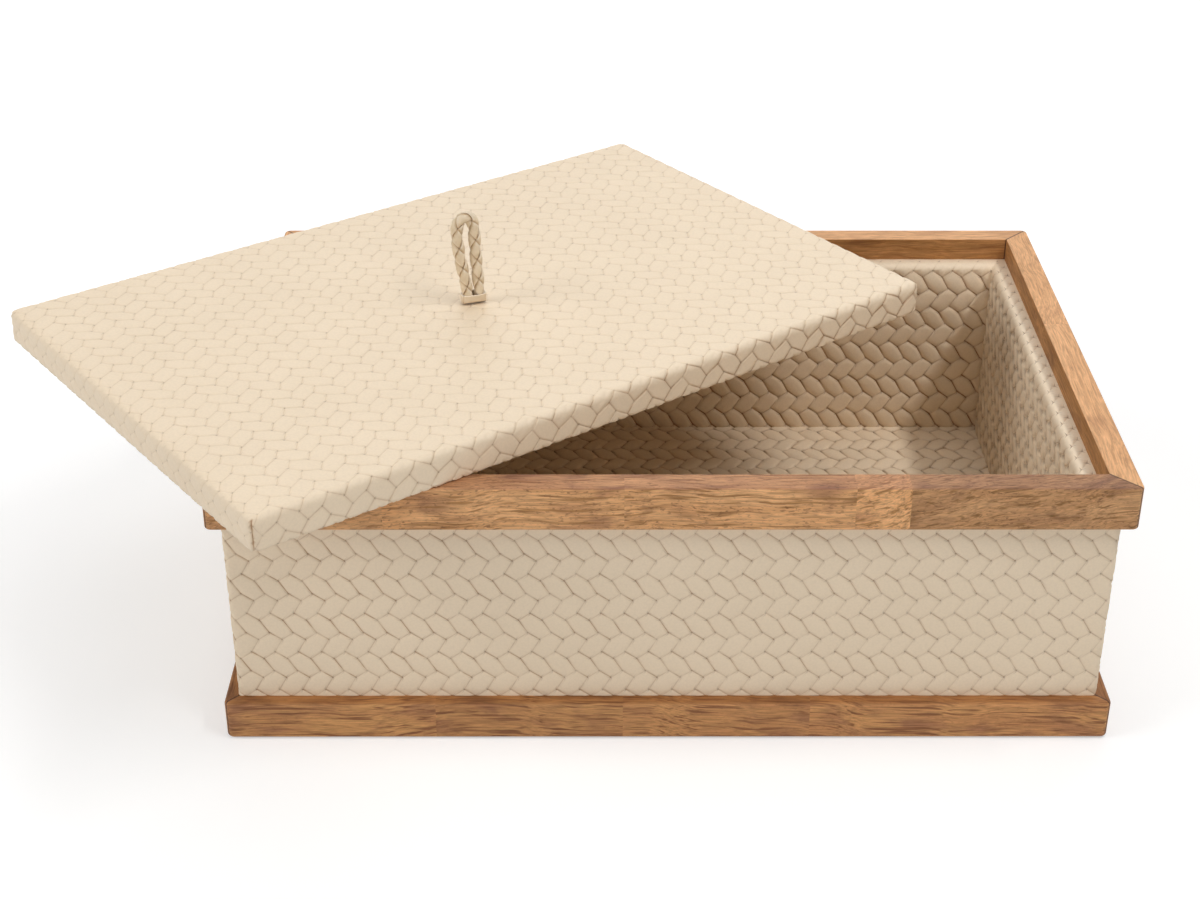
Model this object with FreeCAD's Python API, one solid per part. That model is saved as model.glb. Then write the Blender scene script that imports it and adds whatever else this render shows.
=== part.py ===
import FreeCAD, Part
import math
import os

# A box for papers and keepsakes with a loose lid. Leather-covered board walls stand on a base
# board edged by a mitred wooden plinth, and a mitred, rebated wooden rim caps the walls. The lid
# lies askew on the rim, as when it has just been lifted out of its seat.
# Millimetres, +Z up. The origin is the middle of the underside, +X runs along the front, +Y to the back.

Vector = FreeCAD.Vector
UP = Vector(0, 0, 1)

# Rim, four mitred lengths of wood
rim_length = 380.0
rim_width = 260.0
box_height = 125.0
rim_height = 19.5
rim_member = 12.0
rim_overhang = 5.5
rim_edge_round = 0.9
rim_inner_round = 0.4
rim_corner_round = 3.0

# Lid seat, the leather ledge below the rim's top
seat_depth = 11.0
seat_round = 4.0

# Plinth, four mitred lengths of wood round the base board
plinth_height = 18.5
plinth_strip = 12.0
plinth_overhang = 5.5
plinth_edge_round = 1.6
plinth_corner_round = 3.0

# Walls and floor
wall_thickness = 12.0
leather = 1.0
floor_leather = 1.5
body_corner_round = 2.0
cover_seam_gap = 0.3

# Lid, which fits the rim's opening with a gap all round
lid_board_thickness = 13.5
lid_end_gap = 1.5
lid_side_gap = 3.5
lid_corner_round = 3.2
lid_top_round = 3.0
lid_bottom_round = 1.2
lid_hem = 9.0
lid_slit_width = 0.8
lid_slit_depth = 0.7
lid_slit_height = 9.5

# Where the lid lies: its middle, seen from above, and its turn from the box's long side
lid_middle_x = -88.6
lid_middle_y = 18.5
lid_turn = 36.9

# Pull loop, a flat leather braid, with the band that holds its two feet, a little off the lid's middle
loop_shift_x = 1.9
loop_shift_y = -7.3
loop_turn = 18.0
braid_width = 5.2
braid_thickness = 4.4
foot_gap = 0.2
foot_bend_radius = 14.0
loop_bulge = 4.2
loop_rise = 33.6
loop_eye_radius = 1.4
band_height = 5.0
band_leather = 0.7
band_clearance = 0.1
bend_height = 4.0
loop_lid_gap = 0.3

# Loop tail under the lid board, and the staples over it
tail_clearance = 0.2
tail_bend_room = 0.7
tail_run = 9.0
staple_wire = 1.0
staple_inset = 3.0
staple_bite = 3.0

# Heights and plan sizes that follow
seat_height = box_height - seat_depth
board_top = seat_height - leather
body_length = rim_length - 2 * rim_overhang
body_width = rim_width - 2 * rim_overhang
wall_inset = rim_overhang + leather
cavity_inset = wall_inset + wall_thickness + leather
plinth_inset = rim_overhang - plinth_overhang
base_inset = plinth_inset + plinth_strip
lid_length = rim_length - 2 * (rim_member + lid_end_gap)
lid_width = rim_width - 2 * (rim_member + lid_side_gap)
lid_thickness = lid_board_thickness + 2 * leather

# Spacing and bends of the braid, which follow its width
foot_spacing = braid_width + foot_gap
loop_top_radius = braid_width / 2 + loop_eye_radius
tail_bend_radius = braid_width / 2 + tail_bend_room

# Heights of the loop's tail from the lid's top, and how far its ends reach
board_underside = -leather - lid_board_thickness
tail_height = board_underside + staple_wire + braid_width / 2
tail_drop = -tail_height - tail_bend_radius
tail_reach = foot_spacing / 2 + tail_bend_radius + tail_run

# Each side's turn about Z from the front, its length, and the depth of the frame behind it
SIDES = {
    "front": (0, rim_length, rim_width),
    "right": (90, rim_width, rim_length),
    "back": (180, rim_length, rim_width),
    "left": (270, rim_width, rim_length),
}


def rounded_wire(corners, place):
    """A closed wire through corners of (a, b, round), with each round a tangent arc.

    place turns a flat point into a point in space.
    """
    bends = []
    for index, (a, b, radius) in enumerate(corners):
        here = Vector(a, b, 0)
        to_last = (Vector(*corners[index - 1][:2], 0) - here).normalize()
        to_next = (Vector(*corners[(index + 1) % len(corners)][:2], 0) - here).normalize()
        half_angle = to_last.getAngle(to_next) / 2
        reach = radius / math.tan(half_angle)
        inward = (to_last + to_next).normalize()
        middle = here + inward * (radius / math.sin(half_angle) - radius)
        bends.append((here + to_last * reach, middle, here + to_next * reach, radius))
    edges = []
    for index, (start, middle, end, radius) in enumerate(bends):
        if radius > 0:
            edges.append(Part.Arc(place(start), place(middle), place(end)).toShape())
        next_start = bends[(index + 1) % len(bends)][0]
        edges.append(Part.LineSegment(place(end), place(next_start)).toShape())
    return Part.Wire(edges)


def slab(length, width, bottom, top, corner=0):
    """A flat block centred on Z, with its upright corners rounded."""
    x = length / 2
    y = width / 2
    corners = [(-x, -y, corner), (x, -y, corner), (x, y, corner), (-x, y, corner)]
    outline = rounded_wire(corners, lambda p: Vector(p.x, p.y, bottom))
    return Part.Face(outline).extrude(UP * (top - bottom))


def soften(block, height, radius):
    """Rounds the edges of a block that lie flat at one height."""
    near = 0.001
    edges = [
        edge
        for edge in block.Edges
        if abs(edge.BoundBox.ZMin - height) < near and abs(edge.BoundBox.ZMax - height) < near
    ]
    return block.makeFillet(radius, edges)


def inset_slab(inset, bottom, top, corner=0):
    """A flat block whose sides stand inside the rim's outer faces by inset."""
    return slab(rim_length - 2 * inset, rim_width - 2 * inset, bottom, top, corner)


def mitred_side(side, corners):
    """One side of a mitred frame, from a profile of (inset from the rim's outer face, height, round)."""
    turn, length, depth = SIDES[side]
    outline = rounded_wire(corners, lambda p: Vector(-length / 2, p.x - depth / 2, p.y))
    bar = Part.Face(outline).extrude(Vector(length, 0, 0))
    reach = 0.4 * min(length, depth)
    outer = Vector(length / 2, -depth / 2, 0)
    inner = outer + Vector(-reach, reach, 0)
    plan = [outer, inner, Vector(-inner.x, inner.y, 0), Vector(-outer.x, outer.y, 0), outer]
    wedge = Part.Face(Part.makePolygon(plan)).extrude(UP * box_height)
    member = bar.common(wedge)
    member.rotate(Vector(), UP, turn)
    return member


def rim(side):
    """A rim member: its lip hangs outside the wall, and its rebate sits on the leather ledge."""
    bottom = box_height - rim_height
    profile = [
        (0, bottom, 0),
        (rim_overhang, bottom, 0),
        (rim_overhang, seat_height, 0),
        (rim_member, seat_height, 0),
        (rim_member, box_height, rim_inner_round),
        (0, box_height, 0),
    ]
    envelope = inset_slab(0, bottom, box_height, rim_corner_round)
    envelope = soften(envelope, box_height, rim_edge_round)
    envelope = soften(envelope, bottom, rim_edge_round)
    return mitred_side(side, profile).common(envelope)


def plinth(side):
    """A plinth strip, glued to the edge of the base board."""
    profile = [
        (plinth_inset, 0, 0),
        (base_inset, 0, 0),
        (base_inset, plinth_height, 0),
        (plinth_inset, plinth_height, 0),
    ]
    envelope = inset_slab(plinth_inset, 0, plinth_height, plinth_corner_round)
    envelope = soften(envelope, plinth_height, plinth_edge_round)
    envelope = soften(envelope, 0, plinth_edge_round)
    return mitred_side(side, profile).common(envelope)


def base_board():
    """The board inside the plinth, flush with its top and its underside."""
    return inset_slab(base_inset, 0, plinth_height)


def wall(side):
    """A wall board with its inner top edge rounded over."""
    inner = wall_inset + wall_thickness
    profile = [
        (wall_inset, plinth_height, 0),
        (inner, plinth_height, 0),
        (inner, board_top, seat_round - leather),
        (wall_inset, board_top, 0),
    ]
    envelope = inset_slab(wall_inset, plinth_height, board_top, body_corner_round - leather)
    return mitred_side(side, profile).common(envelope)


def inner_cover(side):
    """Leather up a wall's inner face, over its rounded edge and under the rim."""
    inner = wall_inset + wall_thickness
    profile = [
        (inner, plinth_height, 0),
        (cavity_inset, plinth_height, 0),
        (cavity_inset, seat_height, seat_round),
        (rim_overhang, seat_height, 0),
        (rim_overhang, board_top, 0),
        (inner, board_top, seat_round - leather),
    ]
    envelope = inset_slab(rim_overhang, plinth_height, seat_height, body_corner_round)
    return mitred_side(side, profile).common(envelope)


def floor_cover():
    """Leather on the floor, up to the foot of the inner covers."""
    return inset_slab(cavity_inset, plinth_height, plinth_height + floor_leather)


def outer_cover():
    """One band of leather round the walls, butted together at the middle of the back."""
    outside = inset_slab(rim_overhang, plinth_height, board_top, body_corner_round)
    inside = inset_slab(wall_inset, plinth_height, board_top, body_corner_round - leather)
    seam = slab(cover_seam_gap, 4 * leather, plinth_height, board_top)
    seam.translate(Vector(0, body_width / 2, 0))
    return outside.cut(inside).cut(seam)


def on_rim(shape):
    """Lays a piece of the lid, modelled upright about Z, askew on the rim."""
    shape.rotate(Vector(), UP, lid_turn)
    shape.translate(Vector(lid_middle_x, lid_middle_y, box_height))
    return shape


def on_lid(shape):
    """Stands a piece of the pull loop, modelled with its feet at the origin, on the lid."""
    shape.rotate(Vector(), UP, loop_turn)
    foot = Vector(lid_middle_x + loop_shift_x, lid_middle_y + loop_shift_y, box_height + lid_thickness)
    shape.translate(foot)
    return shape


def lid_blank(inset):
    """The lid's outer form, or that form drawn in by inset on every face."""
    bottom = inset
    top = lid_thickness - inset
    blank = slab(lid_length - 2 * inset, lid_width - 2 * inset, bottom, top, lid_corner_round - inset)
    blank = soften(blank, top, lid_top_round - inset)
    return soften(blank, bottom, lid_bottom_round - inset)


def lining_panel():
    """The panel let in between the lid cover's hems."""
    return slab(lid_length - 2 * lid_hem, lid_width - 2 * lid_hem, 0, leather, lid_corner_round)


def corner_slits():
    """The folds of the lid cover, one slit up each of its upright corners."""
    slits = []
    for x_sign in (-1, 1):
        for y_sign in (-1, 1):
            slit = Part.makeBox(2 * lid_slit_depth, lid_slit_width, lid_slit_height)
            slit.translate(Vector(lid_corner_round - lid_slit_depth, -lid_slit_width / 2, leather))
            slit.rotate(Vector(), UP, math.degrees(math.atan2(y_sign, x_sign)))
            middle_x = lid_length / 2 - lid_corner_round
            middle_y = lid_width / 2 - lid_corner_round
            slit.translate(Vector(x_sign * middle_x, y_sign * middle_y, 0))
            slits.append(slit)
    return slits


def block(half_length, half_width, bottom, top):
    """A plain block about Z, for cutting."""
    return slab(2 * half_length, 2 * half_width, bottom, top)


def walk(start, heading, steps):
    """Edges of a flat path in the XZ plane, of lines (length, None) and arcs (radius, turn in radians).

    heading is in radians from +X towards +Z, and a positive turn is to the left.
    """
    edges = []
    here = start
    for size, turn in steps:
        if turn is None:
            end = here + Vector(math.cos(heading), 0, math.sin(heading)) * size
            edges.append(Part.LineSegment(here, end).toShape())
        else:
            hand = math.copysign(1, turn)
            spoke = heading - hand * math.pi / 2
            centre = here - Vector(math.cos(spoke), 0, math.sin(spoke)) * size
            half = spoke + turn / 2
            middle = centre + Vector(math.cos(half), 0, math.sin(half)) * size
            end = centre + Vector(math.cos(spoke + turn), 0, math.sin(spoke + turn)) * size
            edges.append(Part.Arc(here, middle, end).toShape())
            heading += turn
        here = end
    return edges


def braid(start, heading, steps):
    """A length of the flat braid along a path that starts straight up or down."""
    section = Part.Ellipse(start, braid_width / 2, braid_thickness / 2).toShape()
    path = Part.Wire(walk(start, heading, steps))
    return path.makePipeShell([Part.Wire(section)], True, False)


def foot_envelope():
    """The space that the loop's feet may fill, rounded below to clear the lid as the loop folds."""
    radius = bend_height - loop_lid_gap
    reach = foot_spacing + braid_width + 2 * loop_bulge
    roll = Part.makeCylinder(radius, 2 * reach, Vector(-reach, 0, bend_height), Vector(1, 0, 0))
    above = block(reach, radius, bend_height, 2 * loop_rise)
    return roll.fuse(above)


def pull_loop():
    """The braid's loop: up the bulging left leg, over the top and down the straighter right leg."""
    side = foot_spacing / 2
    straight = band_height - loop_lid_gap
    left_turn = 2 * math.atan(loop_bulge / loop_rise)
    left_radius = loop_rise / math.sin(left_turn) - foot_bend_radius
    top_middle_x = loop_top_radius - side - loop_bulge
    across = side - top_middle_x - foot_bend_radius
    offset = loop_top_radius - foot_bend_radius
    right_run = math.sqrt(across**2 + loop_rise**2 - offset**2)
    right_turn = math.atan2(across, loop_rise) - math.atan2(offset, right_run)
    steps = [
        (straight, None),
        (foot_bend_radius, left_turn),
        (left_radius, -left_turn),
        (loop_top_radius, right_turn - math.pi),
        (right_run, None),
        (foot_bend_radius, -right_turn),
        (straight, None),
    ]
    loop = braid(Vector(-side, 0, loop_lid_gap), math.pi / 2, steps)
    return loop.common(foot_envelope())


def loop_band():
    """The leather strip wound round the loop's two feet."""
    inner_length = foot_spacing + braid_width + 2 * band_clearance
    inner_width = braid_thickness + 2 * band_clearance
    inner_round = braid_thickness / 3
    outer_length = inner_length + 2 * band_leather
    outer_width = inner_width + 2 * band_leather
    band = slab(outer_length, outer_width, loop_lid_gap, band_height, inner_round + band_leather)
    hole = slab(inner_length, inner_width, 0, band_height, inner_round)
    return band.cut(hole).common(foot_envelope())


def loop_tail():
    """The braid's two ends, down through the lid board and spread apart under it."""
    ends = []
    for sign in (-1, 1):
        steps = [
            (tail_drop, None),
            (tail_bend_radius, sign * math.pi / 2),
            (tail_run, None),
        ]
        ends.append(braid(Vector(sign * foot_spacing / 2, 0, 0), -math.pi / 2, steps))
    return Part.makeCompound(ends)


def tail_staples():
    """One staple over each end of the tail, its legs driven up into the lid board."""
    leg_middle = (braid_thickness + staple_wire) / 2 + tail_clearance
    top = tail_height + braid_width / 2 + staple_bite
    wire = staple_wire / 2
    staples = []
    for sign in (-1, 1):
        staple = block(wire, leg_middle + wire, board_underside, top)
        staple = staple.cut(block(wire, leg_middle - wire, board_underside + staple_wire, top))
        staple.translate(Vector(sign * (tail_reach - staple_inset), 0, 0))
        staples.append(staple)
    return Part.makeCompound(staples)


def tail_pocket():
    """The slot down through the lid and the recess under it that the tail lies in."""
    half_width = braid_thickness / 2 + tail_clearance
    slot = block((foot_spacing + braid_width) / 2 + tail_clearance, half_width, board_underside, 0)
    bend = block(foot_spacing / 2 + tail_bend_radius, half_width, board_underside, -tail_drop)
    recess_top = tail_height + braid_width / 2 + tail_clearance
    recess = block(tail_reach + tail_clearance, half_width, board_underside, recess_top)
    return slot.fuse([bend, recess])


def lid_board_piece():
    """The lid's board, with the tail's pocket and the staples' holes."""
    board = on_rim(lid_blank(leather))
    return board.cut(on_lid(tail_pocket())).cut(on_lid(tail_staples()))


def lid_cover():
    """Leather over the lid's top and edges, turned under as a hem, with folded corners."""
    skin = lid_blank(0).cut(lid_blank(leather)).cut(lining_panel())
    skin = on_rim(skin.cut(corner_slits()))
    return skin.cut(on_lid(tail_pocket()))


def main():
    parts = {
        "base_board": base_board(),
        "floor_cover": floor_cover(),
        "outer_cover": outer_cover(),
        "lid_board": lid_board_piece(),
        "lid_cover": lid_cover(),
        "lid_lining": on_rim(lining_panel()),
        "pull_loop": on_lid(pull_loop()),
        "loop_band": on_lid(loop_band()),
        "loop_tail": on_lid(loop_tail()),
        "tail_staples": on_lid(tail_staples()),
    }
    for side in SIDES:
        parts["rim_" + side] = rim(side)
        parts["plinth_" + side] = plinth(side)
        parts["wall_board_" + side] = wall(side)
        parts["inner_cover_" + side] = inner_cover(side)
    os.makedirs("parts", exist_ok=True)
    for name, shape in parts.items():
        shape.exportStep("parts/" + name + ".step")
        print(name, len(shape.Solids), shape.isValid(), round(shape.Volume, 1))


main()
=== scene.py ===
import math

import bmesh
import bpy
import numpy as np
from mathutils import Matrix


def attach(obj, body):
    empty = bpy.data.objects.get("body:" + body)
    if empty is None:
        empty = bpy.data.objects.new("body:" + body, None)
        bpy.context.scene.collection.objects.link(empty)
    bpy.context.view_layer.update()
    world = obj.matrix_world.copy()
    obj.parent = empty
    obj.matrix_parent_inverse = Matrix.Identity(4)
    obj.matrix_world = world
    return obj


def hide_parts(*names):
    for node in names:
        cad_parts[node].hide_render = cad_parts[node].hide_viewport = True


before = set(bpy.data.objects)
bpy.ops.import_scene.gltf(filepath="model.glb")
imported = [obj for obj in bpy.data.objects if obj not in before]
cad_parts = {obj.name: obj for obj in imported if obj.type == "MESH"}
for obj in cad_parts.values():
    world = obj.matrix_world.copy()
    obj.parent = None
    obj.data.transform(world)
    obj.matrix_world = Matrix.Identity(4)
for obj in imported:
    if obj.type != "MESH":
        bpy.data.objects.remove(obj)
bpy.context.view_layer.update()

# Boards of the base, the four walls and the lid: plain fibreboard, sawn to size, glued at the corners
# and hidden under the leather. They keep their CAD shapes.
BOARDS = ["base_board", "lid_board"] + ["wall_board_" + side for side in ("front", "right", "back", "left")]


def paint(code):
    """An sRGB hex colour as linear red, green, blue and alpha."""
    parts = [int(code[place:place + 2], 16) / 255 for place in (1, 3, 5)]
    return [v / 12.92 if v <= 0.04045 else ((v + 0.055) / 1.055) ** 2.4 for v in parts] + [1.0]


def add(tree, kind, inputs, settings={}, output=0):
    """Adds one node, with its inputs as links or plain values and its settings by name.

    It gives the output with that number or name, or all the outputs for None.
    """
    node = tree.nodes.new("ShaderNode" + kind)
    for name, value in settings.items():
        if name == "stops":
            while len(node.color_ramp.elements) < len(value):
                node.color_ramp.elements.new(1.0)
            for element, (place, colour) in zip(node.color_ramp.elements, value):
                element.position = place
                element.color = colour
        elif name == "steps":
            node.color_ramp.interpolation = value
        else:
            setattr(node, name, value)
    for name, value in inputs.items():
        if isinstance(value, bpy.types.NodeSocket):
            tree.links.new(value, node.inputs[name])
        else:
            node.inputs[name].default_value = value
    return node.outputs if output is None else node.outputs[output]


def new_finish(name):
    """An empty material, and its node tree."""
    finish = bpy.data.materials.new(name)
    finish.use_nodes = True
    finish.node_tree.nodes.clear()
    return finish, finish.node_tree


def coat(tree, looks):
    """Ends a finish with a surface of these looks."""
    skin = add(tree, "BsdfPrincipled", looks)
    add(tree, "OutputMaterial", {"Surface": skin}, {}, None)


def wear(node, finish):
    """Gives a CAD node's own shape a finish."""
    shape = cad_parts[node].data
    shape.materials.clear()
    shape.materials.append(finish)


# Fibreboard, pressed from wood fibre and sanded: a dull, even tan with fine specks.
fibreboard, tree = new_finish("pressed_fibreboard")
# a node that mixes two colours
BLEND = {"data_type": "RGBA"}
FIBRE_SPECK = 0.0012
place = add(tree, "TexCoord", {}, {}, "Object")
specks = add(tree, "TexNoise", {"Vector": place, "Scale": 1 / FIBRE_SPECK, "Detail": 4.0})
tone = add(tree, "Mix", {0: specks, 6: paint("#8A6B47"), 7: paint("#B5966C")}, BLEND, 2)
coat(tree, {"Base Color": tone, "Roughness": 0.85})
for board in BOARDS:
    wear(board, fibreboard)

# Plinth: four mitred strips of solid wood, glued round the base board, with rounded edges.
# The wood is stained and oiled, and its grain runs along each strip.
# nodes that multiply two colours, multiply two numbers, do so and add a third, and subtract
DARKEN = {"data_type": "RGBA", "blend_type": "MULTIPLY"}
TIMES = {"operation": "MULTIPLY"}
TIMES_PLUS = {"operation": "MULTIPLY_ADD"}
MINUS = {"operation": "SUBTRACT"}
# the grain's wander: its length, and how far it goes to each side, in metres
WANDER_RUN, WANDER_REACH = 0.040, 0.005
# each pattern of the grain: its length along the grain and its width across it in metres, and its detail
GRAIN_PATTERNS = (
    ("figure", 0.050, 0.0060, 3.0),
    ("blotch", 0.024, 0.0095, 3.0),
    ("line", 0.026, 0.0013, 2.0),
    ("fibre", 0.0110, 0.0007, 3.0),
    ("pore", 0.0021, 0.0008, 2.0),
)
# the mitre's glue line: half its full width, and half its width with its faded sides, in metres
GLUE_LINE, GLUE_FADE = 0.0003, 0.0007


def timber(node, staves, plan, upright, level, marks, seed):
    """Gives a member stained open-grained wood: figure, dark lines, fibre, pores, staves and a mitre line.

    staves are (start along the length in mm, tone, slope of the grain). plan is the size in metres of the
    frame that the member belongs to. upright and level are the dark, middle, light and stained colours of
    its upright and level faces; how the two sets differ is partly the wood's own tone and partly painted
    light and shade. marks says how strongly the dark lines and the pores show.
    """
    finish, tree = new_finish("oiled_wood_" + node)
    # the grain runs along X in the front and the back, and along Y in the sides
    along = 0 if node.endswith(("front", "back")) else 1
    place = add(tree, "TexCoord", {}, {}, None)
    axes = add(tree, "SeparateXYZ", {0: place["Object"]}, {}, None)
    facing = add(tree, "SeparateXYZ", {0: place["Normal"]}, {}, 2)
    on_top = add(tree, "MapRange", {0: facing, 1: 0.35, 2: 0.8})
    length, across = (axes[0], axes[1]) if along == 0 else (axes[1], axes[0])
    share = add(tree, "MapRange", {0: length, 1: -plan[along] / 2, 2: plan[along] / 2})
    half = plan[along] * 500
    stops = [((start + half) / (2 * half), (tone / 2, slope + 0.5, 0, 1)) for start, tone, slope in staves]
    stave = add(tree, "ValToRGB", {0: share}, {"steps": "CONSTANT", "stops": stops})
    stave = add(tree, "SeparateColor", {0: stave}, {}, None)
    stave_tone = add(tree, "Math", {0: stave[0], 1: 2.0}, TIMES)
    slope = add(tree, "Math", {0: stave[1], 1: 0.5}, MINUS)
    shift = add(tree, "Math", {0: stave[0], 1: 47.3, 2: seed}, TIMES_PLUS)
    # the grain climbs with its stave's slope, and wanders a little to each side
    wander_run = add(tree, "Math", {0: length, 1: 1 / WANDER_RUN, 2: shift}, TIMES_PLUS)
    wander_spot = add(tree, "CombineXYZ", {0: wander_run, 1: shift, 2: seed})
    wander = add(tree, "TexNoise", {"Vector": wander_spot, "Scale": 1.0, "Detail": 1.0})
    sway = {0: wander, 1: 0.0, 2: 1.0, 3: -WANDER_REACH, 4: WANDER_REACH}
    wander = add(tree, "MapRange", sway)
    rise = add(tree, "Math", {0: length, 1: slope, 2: wander}, TIMES_PLUS)
    over = add(tree, "Math", {0: across, 1: rise}, MINUS)
    up = add(tree, "Math", {0: axes[2], 1: rise}, MINUS)
    grain = {}
    for pattern, run, width, detail in GRAIN_PATTERNS:
        run_part = add(tree, "Math", {0: length, 1: 1 / run, 2: shift}, TIMES_PLUS)
        width_part = add(tree, "Math", {0: over, 1: 1 / width}, TIMES)
        depth_part = add(tree, "Math", {0: up, 1: 1 / width, 2: shift}, TIMES_PLUS)
        spot = add(tree, "CombineXYZ", {0: run_part, 1: width_part, 2: depth_part})
        look = {"Vector": spot, "Scale": 1.0, "Detail": detail, "Distortion": 0.5}
        grain[pattern] = add(tree, "TexNoise", look)
    # the level faces take their own colours by their facing: partly the wood's own tone, partly painted
    # light and shade
    colours = []
    for face, top in zip(upright, level):
        colours.append(add(tree, "Mix", {0: on_top, 6: paint(face), 7: paint(top)}, BLEND, 2))
    dark, middle, light, stain = colours
    figure = add(tree, "MapRange", {0: grain["figure"], 1: 0.34, 2: 0.64})
    tone = add(tree, "Mix", {0: figure, 6: middle, 7: light}, BLEND, 2)
    blotch = add(tree, "MapRange", {0: grain["blotch"], 1: 0.50, 2: 0.70, 4: 0.85})
    tone = add(tree, "Mix", {0: blotch, 6: tone, 7: stain}, BLEND, 2)
    line = add(tree, "MapRange", {0: grain["line"], 1: 0.52, 2: 0.66, 4: marks[0]})
    tone = add(tree, "Mix", {0: line, 6: tone, 7: dark}, BLEND, 2)
    fibre = add(tree, "MapRange", {0: grain["fibre"], 1: 0.34, 2: 0.66, 3: 1.18, 4: 0.78})
    tone = add(tree, "Mix", {0: 1.0, 6: tone, 7: fibre}, DARKEN, 2)
    # the pores gather where the broad figure is dark
    gather = add(tree, "MapRange", {0: figure, 3: marks[1], 4: marks[1] * 0.35})
    pore = add(tree, "MapRange", {0: grain["pore"], 1: 0.55, 2: 0.68})
    pore = add(tree, "Math", {0: pore, 1: gather}, TIMES)
    tone = add(tree, "Mix", {0: pore, 6: tone, 7: paint("#5C3A22")}, BLEND, 2)
    tone = add(tree, "Mix", {0: 1.0, 6: tone, 7: stave_tone}, DARKEN, 2)
    # the glue line of the mitre, where the plan distances to both outer faces are the same
    plain_size = {"operation": "ABSOLUTE"}
    from_x = add(tree, "Math", {0: axes[0]}, plain_size)
    from_y = add(tree, "Math", {0: axes[1]}, plain_size)
    step = add(tree, "Math", {0: from_x, 1: from_y}, MINUS)
    miss = add(tree, "Math", {0: step, 1: (plan[0] - plan[1]) / 2}, MINUS)
    miss = add(tree, "Math", {0: miss}, plain_size)
    glue = add(tree, "MapRange", {0: miss, 1: GLUE_LINE, 2: GLUE_FADE, 3: 0.85, 4: 0.0})
    tone = add(tree, "Mix", {0: glue, 6: tone, 7: paint("#3B2416")}, BLEND, 2)
    rough = add(tree, "MapRange", {0: grain["fibre"], 3: 0.48, 4: 0.66})
    relief = add(tree, "Math", {0: pore, 1: line}, {"operation": "ADD"})
    sunk = {"Strength": 0.3, "Distance": 0.0003, "Height": relief}
    bump = add(tree, "Bump", sunk, {"invert": True})
    coat(tree, {"Base Color": tone, "Roughness": rough, "Normal": bump, "Specular IOR Level": 0.3})
    wear(node, finish)


PLINTH_PLAN = (0.380, 0.260)
# the plinth's level colours are darker than its upright ones: painted shade on its top, where the walls
# stand over it
PLINTH_UPRIGHT = ("#8A5A38", "#BA8354", "#CB965F", "#976648")
PLINTH_LEVEL = ("#7E4E28", "#9F6A3C", "#B27C4A", "#784B2B")
PLINTH_MARKS = (1.0, 0.25)
PLINTH_STAVES = {
    "front": [(-190, 1.0, 0.0), (-100, 0.93, -0.02), (-20, 1.0, -0.07), (60, 1.04, -0.03)],
    "right": [(-130, 1.0, 0.0), (30, 0.92, 0.04)],
    "back": [(-190, 0.96, 0.0), (20, 1.04, 0.03)],
    "left": [(-130, 0.92, 0.0), (-20, 1.0, -0.03)],
}
PLINTH_SEED, PLINTH_SEED_STEP = 3.7, 11.3
for number, (side, staves) in enumerate(PLINTH_STAVES.items()):
    seed = PLINTH_SEED + PLINTH_SEED_STEP * number
    timber("plinth_" + side, staves, PLINTH_PLAN, PLINTH_UPRIGHT, PLINTH_LEVEL, PLINTH_MARKS, seed)

# Floor cover: one piece of embossed leather cloth, glued to the base board inside the walls.
# The emboss is a braid of slanting cells, pressed in rows that lean left and right in turn.
CELL_PITCH = 9.9
ROW_PITCH = 9.9
ZIGZAG = 3.5
SLANT = 3.65
CREASE_DEPTH = 0.88
PIN_DEPTH = 0.93
PIN_REACH = 0.7
# how much each cell's fullness and tilt differ, and the number of points in its crease
SWELL, TILT = (0.75, 1.15), 0.012
CREASE_POINTS = 24
# a cell's six edges, from its top vertex round to the right: there it rises above its neighbour, dips under
# it, or only meets it; rows that lean to the right first, then rows that lean to the left
EDGE_KINDS = {
    1: ("over", "over", "meet", "under", "under", "meet"),
    -1: ("over", "meet", "meet", "under", "meet", "meet"),
}
# rings of a cell, from its crease inwards: inset in mm, share of the crease's depth by kind, crease tint
# (the crease's brown, partly painted shade)
RINGS = (
    (0.0, {"over": 1.0, "under": 1.0, "meet": 1.0}, 1.0),
    (0.30, {"over": 0.45, "under": 0.80, "meet": 0.62}, 0.2),
    (0.95, {"over": 0.12, "under": 0.50, "meet": 0.28}, 0.02),
    (2.1, {"over": 0.0, "under": 0.20, "meet": 0.08}, 0.0),
    (3.1, {"over": 0.0, "under": 0.05, "meet": 0.0}, 0.0),
)


def cell_corners(pitch, row, lean, inset):
    """Corners of one six-sided cell drawn in by inset, from its top vertex at the origin; t runs down."""
    half, bottom = pitch / 2, row + ZIGZAG
    corners = np.array(
        [(0, 0), (half, ZIGZAG), (lean + half, row), (lean, bottom), (lean - half, row), (-half, ZIGZAG)]
    )
    ahead = np.roll(corners, -1, axis=0) - corners
    ahead /= np.linalg.norm(ahead, axis=1)[:, None]
    inward = np.stack([-ahead[:, 1], ahead[:, 0]], axis=1)
    behind_in = np.roll(inward, 1, axis=0)
    spread = 1 + np.sum(behind_in * inward, axis=1)
    return corners + inset * (behind_in + inward) / spread[:, None]


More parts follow.
